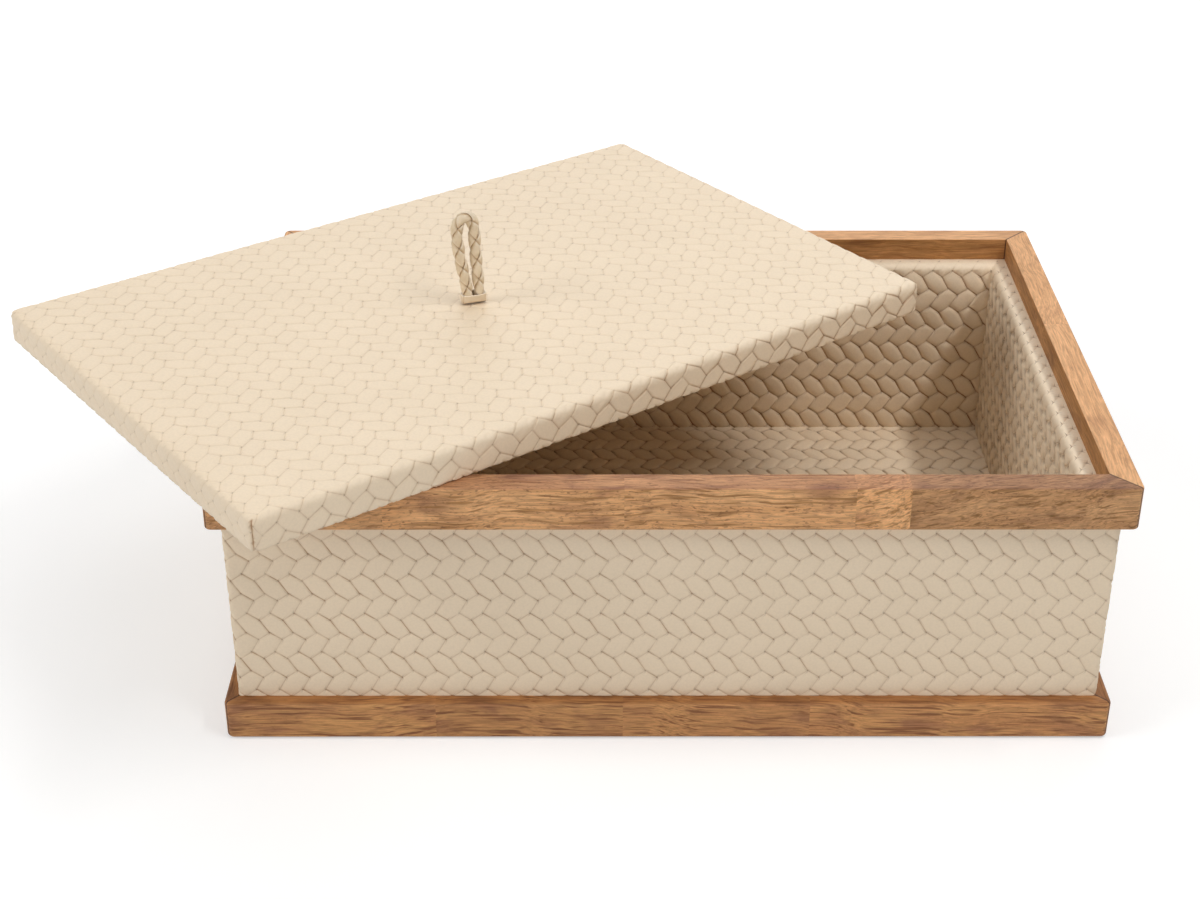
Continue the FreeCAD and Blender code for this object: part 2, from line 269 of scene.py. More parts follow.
def cell_template(pitch, row, lean, fine, slope, meet, pins):
    """One cell as points of (s, t, depth, crease, pin) and triangles, in rings from its crease inwards.

    slope is 1 where the creases that fall to the right are the deep and dark ones, and -1 where they fall to
    the left. meet is the other creases' share of that depth and of their brown, which is partly painted
    shade, stronger on the creases that run across the light; pins is the mark at each ring's corners, a pin
    hole's depth and painted shade.
    """
    points, faces, last = [], [], None
    kinds = EDGE_KINDS[round(math.copysign(1, lean * slope))][::slope]
    near = PIN_REACH / pitch
    bites_and_shades = {"over": 1.0, "under": 1.0, "meet": meet}
    for level, (inset, depths, tint) in enumerate(RINGS):
        corners = cell_corners(pitch, row, lean, inset)
        shares = (0, near, 0.5, 1 - near) if fine or level < 2 else (0, 0.5)
        ring, marks = [], []
        for edge in range(6):
            start, end = corners[edge], corners[(edge + 1) % 6]
            before, here = kinds[edge - 1], kinds[edge]
            for share in shares:
                spot = start + (end - start) * share
                pin = pins[level] if share == 0 else 0.0
                bite_and_shade = bites_and_shades[here] if share else (bites_and_shades[here] + bites_and_shades[before]) / 2
                depth = depths[here] if share else (depths[here] + depths[before]) / 2
                fall = -max(PIN_DEPTH * pin, CREASE_DEPTH * depth * bite_and_shade)
                ring.append(len(points))
                marks.append(edge + share)
                points.append((spot[0], spot[1], fall, tint * bite_and_shade, pin))
        if last:
            faces += stitch(*last, ring, marks)
        last = (ring, marks)
    middle = np.mean([points[i][:2] for i in last[0]], axis=0)
    points.append((middle[0], middle[1], -0.02, 0.0, 0.0))
    ring = last[0]
    faces += [(ring[i], ring[(i + 1) % len(ring)], len(points) - 1) for i in range(len(ring))]
    return np.array(points), np.array(faces)


def stitch(outer, outer_marks, inner, inner_marks):
    """Triangles between two rings of points, matched by their marks round the cell."""
    faces, i, j = [], 0, 0
    while i < len(outer) or j < len(inner):
        next_outer = (outer_marks + [6.0])[i + 1] if i < len(outer) else 99
        next_inner = (inner_marks + [6.0])[j + 1] if j < len(inner) else 99
        here, there = outer[i % len(outer)], inner[j % len(inner)]
        if next_outer <= next_inner:
            faces.append((here, outer[(i + 1) % len(outer)], there))
            i += 1
        else:
            faces.append((here, inner[(j + 1) % len(inner)], there))
            j += 1
    return faces


def emboss(low, high, start, pitch, row, slope, meet, pins, bends, seed):
    """The braid over a flat sheet from low to high in (s, t), with a row that leans right at start.

    slope, meet and pins are those of its cells. bends says for a cell's middle whether the sheet bends
    there and needs the finer cell.
    """
    draw = np.random.default_rng(seed)
    forms = {
        (lean, fine): cell_template(pitch, row, lean, fine, slope, meet, pins)
        for lean in (SLANT, -SLANT)
        for fine in (True, False)
    }
    points, faces, count = [], [], 0
    first = math.floor((low[1] - start[1] - ZIGZAG) / row) - 1
    for index in range(first, math.ceil((high[1] - start[1]) / row) + 1):
        lean = SLANT if index % 2 == 0 else -SLANT
        origin = start[0] + (0 if index % 2 == 0 else SLANT + pitch / 2)
        top = start[1] + index * row
        leftmost = math.floor((low[0] - origin) / pitch) - 1
        rightmost = math.ceil((high[0] - origin) / pitch) + 1
        for step in range(leftmost, rightmost + 1):
            left = origin + step * pitch
            swell, tip, roll = draw.uniform(*SWELL), draw.normal(0, TILT), draw.normal(0, TILT)
            middle = (left + lean / 2, top + (row + ZIGZAG) / 2)
            reach = pitch / 2 + abs(lean) / 2
            if middle[0] + reach < low[0] or middle[0] - reach > high[0]:
                continue
            if top + row + ZIGZAG < low[1] or top > high[1]:
                continue
            form, form_faces = forms[lean, bool(bends(*middle))]
            cell = form + (left, top, 0, 0, 0)
            inside = np.arange(len(form)) >= CREASE_POINTS
            tilt = tip * (cell[:, 0] - middle[0]) + roll * (cell[:, 1] - middle[1])
            lifted = np.minimum(0, cell[:, 2] * swell + tilt - 0.03)
            cell[:, 2] = np.where(inside, lifted, cell[:, 2])
            points.append(cell)
            faces.append(form_faces + count)
            count += len(cell)
    points, faces = np.concatenate(points), np.concatenate(faces)
    keys = np.round(points[:, :2] * 500).astype(np.int64)
    first_of, place_of = np.unique(keys, axis=0, return_index=True, return_inverse=True)[1:]
    return points[first_of], place_of.reshape(-1)[faces]


def trim(points, faces, side):
    """Cuts a sheet along the line where side is nought, and drops what lies below it."""
    inside = side >= 0
    count = inside[faces].sum(axis=1)
    kept, made, corner_pairs = [faces[count == 3]], [], []
    for wanted in (1, 2):
        cut = faces[count == wanted]
        odd = np.argmax(inside[cut] == (wanted == 1), axis=1)
        cut = np.stack([cut[np.arange(len(cut)), (odd + turn) % 3] for turn in range(3)], axis=1)
        made.append(cut)
        corner_pairs += [cut[:, [0, 1]], cut[:, [0, 2]]]
    pairs = np.sort(np.concatenate(corner_pairs), axis=1)
    unique, place_of = np.unique(pairs, axis=0, return_inverse=True)
    place_of = place_of.reshape(-1) + len(points)
    near, far = side[unique[:, 0]], side[unique[:, 1]]
    share = (near / (near - far))[:, None]
    points = np.concatenate([points, points[unique[:, 0]] * (1 - share) + points[unique[:, 1]] * share])
    one, two = len(made[0]), len(made[1])
    on_next, on_last = place_of[:one], place_of[one:2 * one]
    kept.append(np.stack([made[0][:, 0], on_next, on_last], axis=1))
    on_next, on_last = place_of[2 * one:2 * one + two], place_of[2 * one + two:]
    kept.append(np.stack([on_next, made[1][:, 1], made[1][:, 2]], axis=1))
    kept.append(np.stack([on_next, made[1][:, 2], on_last], axis=1))
    faces = np.concatenate(kept)
    used, faces = np.unique(faces, return_inverse=True)
    return points[used], faces.reshape(-1, 3)


def trim_to(points, faces, low, high):
    """Cuts a flat sheet to an upright rectangle in (s, t)."""
    for axis in (0, 1):
        points, faces = trim(points, faces, points[:, axis] - low[axis])
        points, faces = trim(points, faces, high[axis] - points[:, axis])
    return points, faces


scene = bpy.context.scene


def put_in(name, mesh, marks, finish):
    """Smooths a mesh, gives it the marks that its finish reads, and puts it into the scene."""
    mesh.polygons.foreach_set("use_smooth", np.ones(len(mesh.polygons), bool))
    for layer, values in marks.items():
        store = mesh.attributes.new(layer, "FLOAT", "POINT")
        store.data.foreach_set("value", np.asarray(values, np.float32))
    mesh.materials.append(finish)
    piece = bpy.data.objects.new(name, mesh)
    scene.collection.objects.link(piece)
    return piece


def make_sheet(name, points, faces, spots, outward, strips, finish):
    """A leather piece from a flat sheet whose points lie at spots in mm, sunk along outward by their depth.

    strips is the number of lengths that its map is stacked in.
    """
    places = (spots + outward * points[:, 2:3]) / 1000
    sides = places[faces]
    facing = np.cross(sides[:, 1] - sides[:, 0], sides[:, 2] - sides[:, 0])
    if np.sum(facing * outward[faces[:, 0]]) < 0:
        faces = faces[:, ::-1]
    mesh = bpy.data.meshes.new(name)
    mesh.from_pydata(places.tolist(), [], faces.tolist())
    # the flat sheet is also the map that the colours are laid on
    low, high = points[:, :2].min(axis=0), points[:, :2].max(axis=0)
    share = (points[:, :2] - low) / (high - low) * (strips, 1)
    strip = np.clip(np.floor(share[faces, 0].mean(axis=1)), 0, strips - 1)
    across = share[faces, 0] - strip[:, None]
    down = (share[faces, 1] * 0.98 + 0.01 + strip[:, None]) / strips
    flat = np.stack([across * 0.96 + 0.02, down], axis=2)
    mesh.uv_layers.new(name="OFBake").uv.foreach_set("vector", flat.astype(np.float32).ravel())
    return put_in(name, mesh, {"crease": points[:, 3], "pin": points[:, 4]}, finish)


# Embossed leather cloth, a cream plastic skin on fabric, hot-pressed and satin: soft highlights on each
# cell, brown in the creases, partly the press's own mark and partly painted shade, dark in the pin holes
# where three cells meet, painted shade, a fine pebble grain.
GRAIN = 0.0009
BREAK = 0.006


def mottled(name, size, detail, dark, light):
    """A leather in two mottled tones: its finish, its node tree, and its place and tone in that tree."""
    finish, tree = new_finish(name)
    place = add(tree, "TexCoord", {}, {}, "Object")
    tone = add(tree, "TexNoise", {"Vector": place, "Scale": 1 / size, "Detail": detail})
    tone = add(tree, "MapRange", {0: tone, 1: 0.3, 2: 0.7})
    tone = add(tree, "Mix", {0: tone, 6: paint(dark), 7: paint(light)}, BLEND, 2)
    return finish, tree, place, tone


embossed_leather, tree, place, tone = mottled("embossed_leather_cloth", 0.035, 3.0, "#EFDBBF", "#F2DEC2")
crease, pin = (add(tree, "Attribute", {}, {"attribute_name": mark}, "Fac") for mark in ("crease", "pin"))
grain = add(tree, "TexVoronoi", {"Vector": place, "Scale": 1 / GRAIN}, {"feature": "SMOOTH_F1"})
# a little darker between the pebble grains
grain_dark = add(tree, "MapRange", {0: grain, 1: 0.2, 2: 0.8, 3: 1.0, 4: 0.95})
tone = add(tree, "Mix", {0: 1.0, 6: tone, 7: grain_dark}, DARKEN, 2)
broken = add(tree, "TexNoise", {"Vector": place, "Scale": 1 / BREAK, "Detail": 2.0})
broken = add(tree, "MapRange", {0: broken, 1: 0.35, 2: 0.6, 3: 0.45, 4: 1.0})
# the creases' brown: partly the press's own mark, partly painted shade
bite_and_shade = add(tree, "Math", {0: crease, 1: 1.3}, {"operation": "POWER"})
bite_and_shade = add(tree, "Math", {0: bite_and_shade, 1: broken}, TIMES)
tone = add(tree, "Mix", {0: bite_and_shade, 6: tone, 7: paint("#A0744A")}, BLEND, 2)
# the pin holes painted dark: painted shade
pin_hole_shade = add(tree, "Math", {0: pin, 1: broken}, TIMES)
tone = add(tree, "Mix", {0: pin_hole_shade, 6: tone, 7: paint("#6B4626")}, BLEND, 2)
rough = add(tree, "MapRange", {0: crease, 3: 0.5, 4: 0.8})
pebble = {"Strength": 0.12, "Distance": 0.0002, "Height": grain}
bump = add(tree, "Bump", pebble, {"invert": True})
coat(tree, {"Base Color": tone, "Roughness": rough, "Normal": bump, "Specular IOR Level": 0.4})

CAVITY_LENGTH, CAVITY_WIDTH = 341.0, 221.0
FLOOR_TOP = 20.0
FLOOR_START, FLOOR_ROW = (2.0, -88.7), 10.0
INSIDE_MEET = 0.5
FLOOR_PUFF, FLOOR_RELIEF, FLOOR_TINT, CREASE_SPREAD = 0.5, 2.0, 1.15, 0.55
# the pin holes' depth and painted shade on each ring of a cell, small on most pieces and large on the side
# walls
SMALL_PINS, LARGE_PINS = (1.0, 0.45, 0.0, 0.0, 0.0), (1.0, 1.0, 0.7, 0.05, 0.0)
half = np.array([CAVITY_LENGTH / 2, CAVITY_WIDTH / 2])
points, faces = emboss(
    -half, half, FLOOR_START, CELL_PITCH, FLOOR_ROW,
    slope=1, meet=INSIDE_MEET, pins=SMALL_PINS, bends=lambda s, t: False, seed=11,
)
points, faces = trim_to(points, faces, -half, half)
points[:, 2] = FLOOR_RELIEF * points[:, 2] + FLOOR_PUFF
# the floor's creases get a stronger, wider brown: painted shade in the creases
points[:, 3] = FLOOR_TINT * points[:, 3] ** CREASE_SPREAD
spots = np.stack([points[:, 0], -points[:, 1], np.full(len(points), FLOOR_TOP)], axis=1)
outward = np.tile([0, 0, 1.0], (len(points), 1))
floor_cover = make_sheet("floor_leather", points, faces, spots, outward, 1, embossed_leather)
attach(floor_cover, "box")
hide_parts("floor_cover")

# Inner covers: four pieces of the same leather, each glued up its wall, rolled over the rounded top
# edge and tucked under the rim, and cut at the corners to meet the next.
SEAT_HEIGHT = 114.0
ROLL = 4.0
TUCK = 14.0
INNER_START = {"back": (2.0, 110.8), "right": (2.0, 108.0), "front": (0.0, 110.0), "left": (3.0, 110.0)}
INNER_TURN = {"back": 0, "right": -90, "front": 180, "left": 90}
INNER_TINT, INNER_SPREAD = 1.25, 0.75
INNER_PUFF, INNER_RELIEF = 0.9, 1.7
# over these lengths in mm the cells flatten towards the roll and the corners
WALL_FADE, CORNER_FADE = 6.0, 1.5
# the share of its depth and of its tint that a crease loses on the roll
ROLL_EASE, ROLL_PALE = 0.7, 0.7
wall_run = SEAT_HEIGHT - ROLL - FLOOR_TOP
roll_run = ROLL * math.pi / 2


def turned(angle):
    """The matrix that turns rows of points about Z by an angle in radians."""
    cos, sin = math.cos(angle), math.sin(angle)
    return np.array([[cos, sin, 0], [-sin, cos, 0], [0, 0, 1]])


for number, side in enumerate(INNER_TURN):
    length = CAVITY_LENGTH if side in ("back", "front") else CAVITY_WIDTH
    high_run = wall_run + roll_run + TUCK - ROLL
    low = np.array([-length / 2 - TUCK, -high_run])
    high = np.array([length / 2 + TUCK, 0.8])
    start = (INNER_START[side][0], FLOOR_TOP - INNER_START[side][1])
    points, faces = emboss(
        low, high, start, CELL_PITCH, ROW_PITCH,
        slope=1, meet=INSIDE_MEET, pins=LARGE_PINS if side in ("right", "left") else SMALL_PINS,
        bends=lambda s, t: abs(-t - wall_run - roll_run / 2) < 9, seed=20 + number,
    )
    points, faces = trim_to(points, faces, low, high)
    climb = -points[:, 1]
    angle = np.clip((climb - wall_run) / ROLL, 0, math.pi / 2)
    tuck = np.maximum(climb - wall_run - roll_run, 0)
    out = ROLL * (1 - np.cos(angle)) + tuck
    rise = FLOOR_TOP + np.minimum(climb, wall_run) + ROLL * np.sin(angle)
    depth = (CAVITY_WIDTH if side in ("back", "front") else CAVITY_LENGTH) / 2
    # the roll is stretched, so its creases are shallower, and the ends are pressed flat into the corners
    on_wall = np.clip((wall_run - climb) / WALL_FADE, 0, 1)
    points[:, 2] *= 1 + (INNER_RELIEF - 1) * on_wall
    points[:, 2] += INNER_PUFF * on_wall
    points[:, 2] *= np.clip((length / 2 + out - np.abs(points[:, 0])) / CORNER_FADE, 0.1, 1)
    points[:, 2] *= 1 - ROLL_EASE * np.clip((climb - wall_run + 2) / 5, 0, 1)
    # the walls' creases get a strong brown: painted shade in the creases
    points[:, 3] = points[:, 3] ** INNER_SPREAD * INNER_TINT
    points[:, 3] *= 1 - ROLL_PALE * np.clip((climb - wall_run + 1) / 4, 0, 1)
    local = np.stack([points[:, 0], depth + out, rise], axis=1)
    facing = np.stack([np.zeros(len(points)), -np.cos(angle), np.sin(angle)], axis=1)
    whole = np.concatenate([points, local, facing], axis=1)
    for end in (-1, 1):
        whole, faces = trim(whole, faces, length / 2 + (whole[:, 6] - depth) - end * whole[:, 5])
    spin = turned(math.radians(INNER_TURN[side]))
    places, outward = whole[:, 5:8] @ spin, whole[:, 8:] @ spin
    cover = make_sheet("inner_leather_" + side, whole[:, :5], faces, places, outward, 1, embossed_leather)
    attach(cover, "box")
    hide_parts("inner_cover_" + side)

# Outer cover: one band of the same leather, wrapped round the four walls and butted together at the
# middle of the back. Its edges run down behind the plinth's top and up behind the rim.
BODY_LENGTH, BODY_WIDTH, BODY_ROUND = 369.0, 249.0, 2.0
BAND_BOTTOM, BAND_TOP = 18.5, 113.0
SEAM_GAP = 0.3
OUTER_PITCH, OUTER_ROW = 9.89, 9.84
TOP_ZIGZAG = 100.4
FRONT_VERTEX = -118.7
OUTER_SKEW = 0.022
OUTER_RELIEF, OUTER_TINT, OUTER_PIN = 0.5, 0.85, 0.8
OUTER_MEET, OUTER_SPREAD = 0.55, 0.8
OUTER_FADE = 0.3
straight = [BODY_LENGTH / 2 - BODY_ROUND, BODY_WIDTH - 2 * BODY_ROUND, BODY_LENGTH - 2 * BODY_ROUND]
straight += [straight[1], straight[0]]
corner_run = BODY_ROUND * math.pi / 2
total = sum(straight) + 4 * corner_run
to_front = straight[0] + straight[1] + 2 * corner_run
low = np.array([SEAM_GAP / 2, -BAND_TOP])
high = np.array([total - SEAM_GAP / 2, -BAND_BOTTOM])
start = (to_front + BODY_LENGTH / 2 - BODY_ROUND + FRONT_VERTEX, -TOP_ZIGZAG)
turns = [straight[0] + corner_run / 2]
for run in straight[1:4]:
    turns.append(turns[-1] + run + corner_run)
points, faces = emboss(
    low - (5, 0), high + (5, 0), start, OUTER_PITCH, OUTER_ROW,
    slope=1, meet=OUTER_MEET, pins=SMALL_PINS,
    bends=lambda s, t: min(abs(s - turn) for turn in turns) < 8, seed=31,
)
points[:, 0] += OUTER_SKEW * (points[:, 1] - start[1])
points, faces = trim_to(points, faces, low, high)
points[:, 2] *= OUTER_RELIEF
# the creases' brown and the pin holes' dark are partly painted shade
points[:, 3] = OUTER_TINT * points[:, 3] ** OUTER_SPREAD
points[:, 4] *= OUTER_PIN
# walk along the back's left half, the left side, the front, the right side and the back's right half
spots = np.zeros((len(points), 3))
outward = np.zeros((len(points), 3))
here, heading, begun = np.array([0.0, BODY_WIDTH / 2]), math.pi, 0.0
for leg, run in enumerate(straight):
    ahead = np.array([math.cos(heading), math.sin(heading)])
    away = np.array([math.sin(heading), -math.cos(heading)])
    part = (points[:, 0] >= begun) & (points[:, 0] <= begun + run)
    spots[part, :2] = here + (points[part, 0] - begun)[:, None] * ahead
    outward[part, :2] = away
    here, begun = here + run * ahead, begun + run
    if leg == 4:
        break
    centre = here - BODY_ROUND * away
    part = (points[:, 0] > begun) & (points[:, 0] < begun + corner_run)
    angle = math.atan2(away[1], away[0]) + (points[part, 0] - begun) / BODY_ROUND
    outward[part, :2] = np.stack([np.cos(angle), np.sin(angle)], axis=1)
    spots[part, :2] = centre + BODY_ROUND * outward[part, :2]
    heading += math.pi / 2
    begun += corner_run
    away = np.array([math.sin(heading), -math.cos(heading)])
    here = centre + BODY_ROUND * away
spots[:, 2] = -points[:, 1]
# the creases' brown, partly painted shade, is a little paler towards the right
points[:, 3] *= 1 - OUTER_FADE * spots[:, 0] / BODY_LENGTH
outer_cover = make_sheet("outer_leather", points, faces, spots, outward, 4, embossed_leather)
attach(outer_cover, "box")
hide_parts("outer_cover")

# Rim: four mitred lengths of solid wood, rebated to lap over the wall tops, with eased edges.
# The front length is joined end to end from staves of different tone.
RIM_PLAN = (0.380, 0.260)
# how the rims' level and upright colours differ is partly the wood's own tone and partly painted light and
# shade: the front rim's top is painted darker, and the other rims' inner upright faces darker than their lit
# tops
FRONT_UPRIGHT = ("#9C6E3E", "#D69F6B", "#E7B17C", "#A87853")
FRONT_LEVEL = ("#8C5E3C", "#B07E58", "#C8946A", "#835642")
RIM_UPRIGHT = ("#855428", "#A97643", "#BD8854", "#8A5B36")
RIM_LEVEL = ("#BD8A5C", "#D6A170", "#E0AB7A", "#C18E62")
FRONT_MARKS, RIM_MARKS = (0.85, 0.65), (0.45, 0.2)
RIM_STAVES = {
    "front": [(-190, 0.9, 0.05), (-118, 1.0, 0.04), (-20, 1.0, 0.0), (73, 1.1, 0.3), (96, 0.75, 0.15)],
    "right": [(-130, 1.0, 0.0), (20, 1.02, 0.06)],
    "back": [(-190, 1.0, 0.0), (60, 1.02, 0.0)],
    "left": [(-130, 0.95, 0.0), (10, 1.0, 0.04)],
}
RIM_SEED, RIM_SEED_STEP = 51.2, 13.9
for number, (side, staves) in enumerate(RIM_STAVES.items()):
    looks = (RIM_UPRIGHT, RIM_LEVEL, RIM_MARKS)
    if side == "front":
        looks = (FRONT_UPRIGHT, FRONT_LEVEL, FRONT_MARKS)
    timber("rim_" + side, staves, RIM_PLAN, *looks, RIM_SEED + RIM_SEED_STEP * number)

# Lid cover: one piece of the leather over the lid board's top and edges, folded at the corners and
# turned under as a hem. Its rows run across the lid.
LID_LENGTH, LID_WIDTH, LID_THICKNESS = 353.0, 229.0, 15.5
LID_ROUND, LID_FOOT_ROUND, LID_CORNER = 3.0, 1.2, 3.2
LID_HEM = 9.0
LID_MIDDLE = (-88.6, 18.5, 125.0)
LID_TURN = math.radians(36.9)
LID_PITCH, LID_ROW = 9.87, 9.93
LID_START = (58.9, -165.3)
# the cover is drawn tight over the top, and looser along the front edge towards the lid's right end
# the creases' brown, partly painted shade, is faint on the top and stronger along the front edge towards the
# right end
TOP_RELIEF, TOP_TINT, TOP_PIN = 0.42, 0.42, 0.6
TOP_MEET = 0.85
FRONT_RELIEF, FRONT_TINT, FRONT_PUFF = (1.2, 0.4), (0.85, 0.3), 0.6
# below 1 this widens the shade in the front edge's creases
FRONT_SPREAD = 0.6
END_RELIEF, END_TINT = 0.45, 0.3
# the share of the front edge's relief that is left where it turns under,
# and the height in mm that it eases over
FOOT_SHARE, FOOT_FADE = 0.6, 3.0
SLIT_DEPTH, SLIT_WIDTH = 0.7, 0.9
edge_run = LID_ROUND * math.pi / 2
side_end = edge_run + LID_THICKNESS - LID_ROUND - LID_FOOT_ROUND
foot_end = side_end + LID_FOOT_ROUND * math.pi / 2
hem_end = foot_end + LID_HEM - LID_FOOT_ROUND
flat_half = np.array([LID_WIDTH, LID_LENGTH]) / 2 - LID_ROUND
corner_share = LID_CORNER * math.pi / 4 - (LID_CORNER - LID_ROUND)


def lid_profile(run):
    """Inset from the lid's edge, height and outward way of the cover, by its run from the top's flat."""
    top = np.clip(run / LID_ROUND, 0, math.pi / 2)
    foot = np.clip((run - side_end) / LID_FOOT_ROUND, 0, math.pi / 2)
    upright = np.clip(run - edge_run, 0, side_end - edge_run)
    hem = np.maximum(run - foot_end, 0)
    inset = LID_ROUND * (1 - np.sin(top)) + LID_FOOT_ROUND * (1 - np.cos(foot)) + hem
    height = LID_THICKNESS - LID_ROUND * (1 - np.cos(top)) - upright - LID_FOOT_ROUND * np.sin(foot)
    return inset, height, np.sin(top) * np.cos(foot), np.cos(top) - np.sin(foot)


def lid_room(run):
    """How far past the flat of the top the cover reaches along an edge, towards the corner's fold."""
    inset = np.where(run < edge_run, 0, lid_profile(run)[0])
    round_part = np.maximum(LID_CORNER - inset, 0) * math.pi / 4
    return round_part - np.maximum(inset - LID_CORNER, 0) - (LID_CORNER - LID_ROUND)


reach = flat_half + hem_end
points, faces = emboss(
    -reach, reach, LID_START, LID_PITCH, LID_ROW,
    slope=-1, meet=TOP_MEET, pins=SMALL_PINS,
    bends=lambda s, t: max(abs(s) - flat_half[0], abs(t) - flat_half[1]) > -6, seed=41,
)
points, faces = trim_to(points, faces, -reach, reach)
past = np.abs(points[:, :2]) - flat_half
fits = np.maximum(lid_room(past[:, 0]) - past[:, 1], lid_room(past[:, 1]) - past[:, 0])
points, faces = trim(points, faces, fits)
# each point lies on the top, or on the flap that it is further over
past = np.abs(points[:, :2]) - flat_half
sign = np.where(points[:, :2] < 0, -1.0, 1.0)
on_end = past[:, 1] > past[:, 0]
run = np.maximum(np.max(past, axis=1), 0)
beside = np.where(on_end, past[:, 0], past[:, 1])
inset, height, level_part, up_part = lid_profile(run)
bend_start = LID_ROUND - LID_CORNER
bend_end = np.where(run < corner_share, run, lid_room(np.maximum(run, corner_share)))
in_corner = (run > 0) & (beside > bend_start) & (inset < LID_CORNER)
share = np.clip((beside - bend_start) / np.maximum(bend_end - bend_start, 1e-6), 0, 1)
fold = np.where(in_corner, share * math.pi / 4, 0)
corner_radius = np.maximum(LID_CORNER - inset, 0)
along_edge = np.where(in_corner, bend_start + corner_radius * np.sin(fold), beside)
out_edge = np.where(in_corner, bend_start + corner_radius * np.cos(fold), LID_ROUND - inset)
out_edge = np.where(run > 0, out_edge, np.max(past, axis=1))
second = np.where(on_end, out_edge, along_edge)
first = np.where(on_end, along_edge, out_edge)
flat = sign * (np.stack([first, second], axis=1) + flat_half)
lean = np.stack([np.sin(fold), np.cos(fold)], axis=1) * level_part[:, None]
lean = np.where(on_end[:, None], lean, lean[:, ::-1]) * sign
# the relief is faint on the top and fuller over the edges
over_edge = np.clip((np.max(past, axis=1) + 1) / 4, 0, 1)
on_front = (~on_end) & (points[:, 0] > 0)
above_foot = np.clip((side_end - run) / FOOT_FADE, 0, 1)
front_relief = FRONT_RELIEF[0] + FRONT_RELIEF[1] * points[:, 1] / flat_half[1]
front_relief *= FOOT_SHARE + (1 - FOOT_SHARE) * above_foot
edge_relief = np.where(on_front, front_relief, END_RELIEF)
# the front edge's creases are painted a darker brown towards the right end: painted shade between the cells
front_tint = FRONT_TINT[0] + FRONT_TINT[1] * points[:, 1] / flat_half[1]
edge_tint = np.where(on_front, front_tint, END_TINT)
points[:, 2] *= TOP_RELIEF + (edge_relief - TOP_RELIEF) * over_edge
points[:, 3] **= 1 - (1 - FRONT_SPREAD) * np.where(on_front, over_edge, 0)
points[:, 3] *= TOP_TINT + (edge_tint - TOP_TINT) * over_edge
points[:, 4] *= TOP_PIN
# the front edge bulges, but not where it turns under on to the rim
points[:, 2] += FRONT_PUFF * np.where(on_front, over_edge, 0) * above_foot
# the folded corner sinks into a slit, painted dark: painted shade in the slit
to_fold = np.where((run > corner_share) & (beside > bend_start), bend_end - beside, 9.0)
sink = np.clip(1 - to_fold / SLIT_WIDTH, 0, 1)
points[:, 2] = np.minimum(points[:, 2], -SLIT_DEPTH * sink)
points[:, 3] = np.maximum(points[:, 3], sink**2)
# the lid's own axes: t runs along its length and s from its back to its front
spots = np.stack([flat[:, 1], -flat[:, 0], height], axis=1)
outward = np.stack([lean[:, 1], -lean[:, 0], up_part], axis=1)
spin = turned(LID_TURN)
spots, outward = spots @ spin + LID_MIDDLE, outward @ spin
lid_cover = make_sheet("lid_leather", points, faces, spots, outward, 1, embossed_leather)
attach(lid_cover, "lid")
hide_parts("lid_cover")

# Lid lining: a panel of plain leather let in between the hems under the lid, glued to the board,
# with its cut edge rolled back a little.
LINING_LENGTH, LINING_WIDTH, LINING_CORNER = 335.0, 211.0, 3.2
# the panel from its upper side round its edge to its middle: inset and height in mm
LINING_SECTION = ((0.3, 0.98), (0.05, 0.8), (0.05, 0.45), (0.35, 0.2), (1.0, 0.12), (4.0, 0.1), (30.0, 0.12))


def tube(rows, count, base):
    """Faces of a closed tube from rows of count points each, the first of them numbered base."""
    faces = []
    for row in range(rows - 1):
        for place in range(count):
            here, beside = base + row * count + place, base + row * count + (place + 1) % count
            faces.append((here, beside, beside + count, here + count))
    faces.append(tuple(range(base, base + count))[::-1])
    faces.append(tuple(range(base + (rows - 1) * count, base + rows * count)))
    return faces


def make_solid(name, points, faces, marks, finish):
    """A smooth piece from points in mm, with marks for its finish, and its faces turned outwards."""
    mesh = bpy.data.meshes.new(name)
    mesh.from_pydata((np.asarray(points) / 1000).tolist(), [], faces)
    shape = bmesh.new()
    shape.from_mesh(mesh)
    bmesh.ops.recalc_face_normals(shape, faces=shape.faces)
    shape.to_mesh(mesh)
    shape.free()
    return put_in(name, mesh, marks, finish)


# Plain leather of the same hide, split thin and polished: smooth cream with a fine pebble grain, paler on
# its cut edges and painted darker where it tucks under, painted shade.
plain_leather, tree, place, tone = mottled("plain_cream_leather", 0.008, 4.0, "#D9C3A4", "#E6D2B6")
edge, under = (add(tree, "Attribute", {}, {"attribute_name": mark}, "Fac") for mark in ("edge", "under"))
grain = add(tree, "TexVoronoi", {"Vector": place, "Scale": 1 / GRAIN}, {"feature": "SMOOTH_F1"})
tone = add(tree, "Mix", {0: edge, 6: tone, 7: paint("#F2E4D0")}, BLEND, 2)
# painted shade where the leather tucks under
tone = add(tree, "Mix", {0: under, 6: tone, 7: paint("#9A7C5A")}, BLEND, 2)
rough = add(tree, "MapRange", {0: grain, 3: 0.48, 4: 0.62})
pebble = {"Strength": 0.25, "Distance": 0.0002, "Height": grain}
bump = add(tree, "Bump", pebble, {"invert": True})
coat(tree, {"Base Color": tone, "Roughness": rough, "Normal": bump, "IOR": 1.48})

